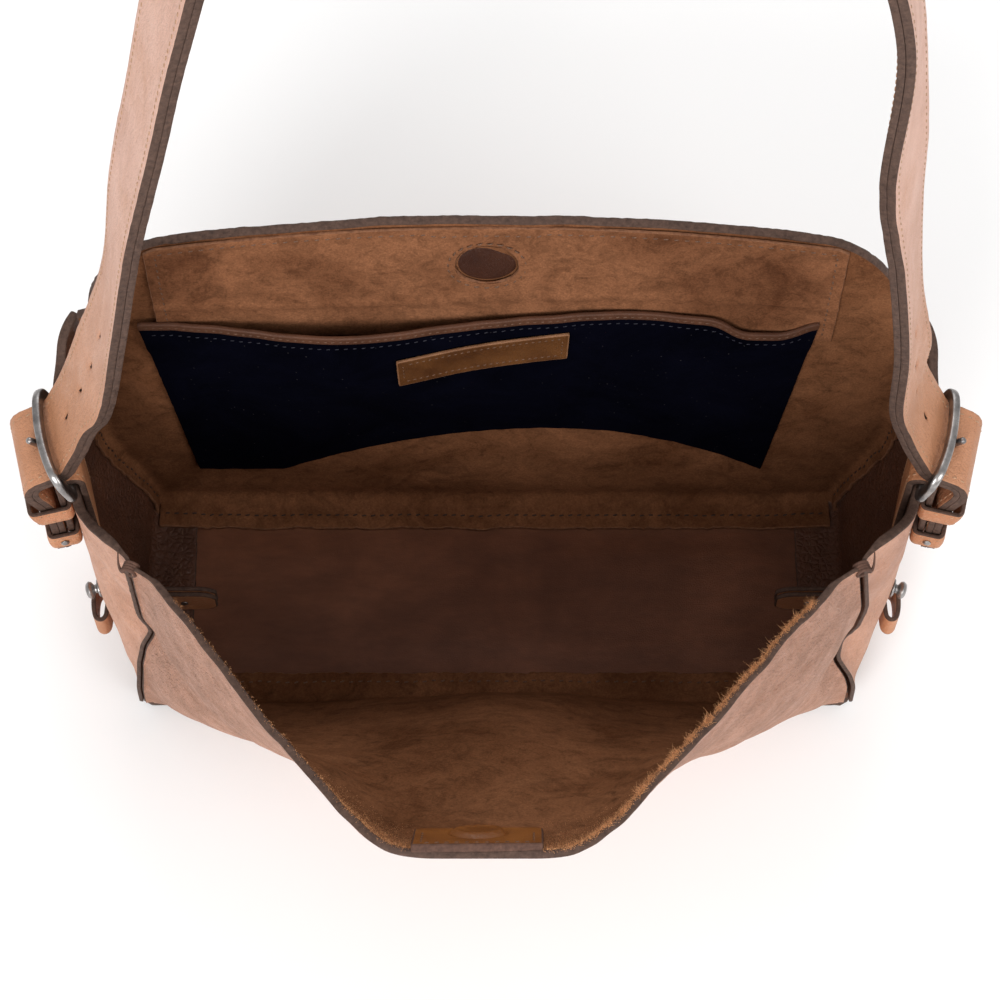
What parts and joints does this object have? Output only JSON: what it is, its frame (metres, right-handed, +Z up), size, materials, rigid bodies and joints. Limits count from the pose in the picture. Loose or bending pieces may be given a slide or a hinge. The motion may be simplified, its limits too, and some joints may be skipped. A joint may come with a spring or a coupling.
{
  "type": "leather shoulder bag",
  "caption": "Wide soft-sided leather shoulder bag with an open magnet-closed mouth, slip pocket, flat base and a buckled adjustable strap.",
  "frame": {"origin": "middle of the flat underside, where the bag stands", "axes": "+X across the bag to the viewer's right, -Y to the front where the mouth opens, +Z up to the strap's apex"},
  "size_m": [0.4424, 0.2838, 0.6874],
  "materials": {
    "tan_leather": "waxed full grain, raw burnished edges",
    "strap_leather": "waxed full grain, two plies stitched",
    "base_leather": "smooth, dark",
    "flesh_side": "suede, flesh side",
    "navy_suede": "black-navy suede",
    "label_leather": "smooth golden brown",
    "antique_gunmetal": "antiqued, dark"
  },
  "bodies": {
    "bag": {"back_facing": "flesh_side", "back_magnet": "antique_gunmetal", "back_magnet_cover": "base_leather", "back_panel": "tan_leather", "bottom_panel": "base_leather", "front_panel": "tan_leather", "gusset_left": "tan_leather", "gusset_right": "tan_leather", "label_patch": "label_leather", "left_chape": "tan_leather", "left_fixed_keeper": "tan_leather", "left_side_loop": "tan_leather", "left_side_loop_rivet_back_1": "antique_gunmetal", "left_side_loop_rivet_back_2": "antique_gunmetal", "left_side_loop_rivet_front_1": "antique_gunmetal", "left_side_loop_rivet_front_2": "antique_gunmetal", "left_stud": "antique_gunmetal", "left_stud_screw": "antique_gunmetal", "pocket_edge_trim": "flesh_side", "pocket_panel": "navy_suede", "right_chape": "tan_leather", "right_fixed_keeper": "tan_leather", "right_side_loop": "tan_leather", "right_side_loop_rivet_back_1": "antique_gunmetal", "right_side_loop_rivet_back_2": "antique_gunmetal", "right_side_loop_rivet_front_1": "antique_gunmetal", "right_side_loop_rivet_front_2": "antique_gunmetal", "right_stud": "antique_gunmetal", "right_stud_screw": "antique_gunmetal"},
    "strap": {"shoulder_strap": "strap_leather", "strap_lining": "strap_leather"},
    "front_mouth": {"front_tab": "label_leather", "front_magnet": "antique_gunmetal"},
    "left_buckle": {"left_buckle_frame": "antique_gunmetal"},
    "left_tongue": {"left_prong": "antique_gunmetal"},
    "left_slider": {"left_sliding_keeper": "tan_leather", "left_keeper_rivet": "antique_gunmetal"},
    "right_buckle": {"right_buckle_frame": "antique_gunmetal"},
    "right_tongue": {"right_prong": "antique_gunmetal"},
    "right_slider": {"right_sliding_keeper": "tan_leather", "right_keeper_rivet": "antique_gunmetal"}
  },
  "joints": [
    {"name": "mouth_close", "type": "hinge", "parent": "bag", "child": "front_mouth", "pos_m": [0, -0.0545, 0.0045], "axis": [-1, 0, 0], "range_deg": [0, 54.5], "deforming": ["front_panel"]},
    {"name": "strap_swing", "type": "hinge", "parent": "bag", "child": "strap", "pos_m": [0, 0, 0.2], "axis": [1, 0, 0], "range_deg": [-70, 70], "deforming": ["shoulder_strap", "strap_lining"]},
    {"name": "left_buckle_turn", "type": "hinge", "parent": "bag", "child": "left_buckle", "pos_m": [-0.19512, -0.00028, 0.1745], "axis": [0.2419, -0.9703, 0], "range_deg": [0, 6]},
    {"name": "left_tongue_turn", "type": "hinge", "parent": "left_buckle", "child": "left_tongue", "pos_m": [-0.19512, -0.00028, 0.1745], "axis": [0.2419, -0.9703, 0], "range_deg": [0, 6]},
    {"name": "left_keeper_slide", "type": "slide", "parent": "bag", "child": "left_slider", "axis": [0, 0, 1], "range_m": [-0.01, 0.014]},
    {"name": "right_buckle_turn", "type": "hinge", "parent": "bag", "child": "right_buckle", "pos_m": [0.19512, -0.00028, 0.1745], "axis": [0.2419, 0.9703, 0], "range_deg": [0, 6]},
    {"name": "right_tongue_turn", "type": "hinge", "parent": "right_buckle", "child": "right_tongue", "pos_m": [0.19512, -0.00028, 0.1745], "axis": [0.2419, 0.9703, 0], "range_deg": [0, 6]},
    {"name": "right_keeper_slide", "type": "slide", "parent": "bag", "child": "right_slider", "axis": [0, 0, 1], "range_m": [-0.01, 0.014]}
  ]
}
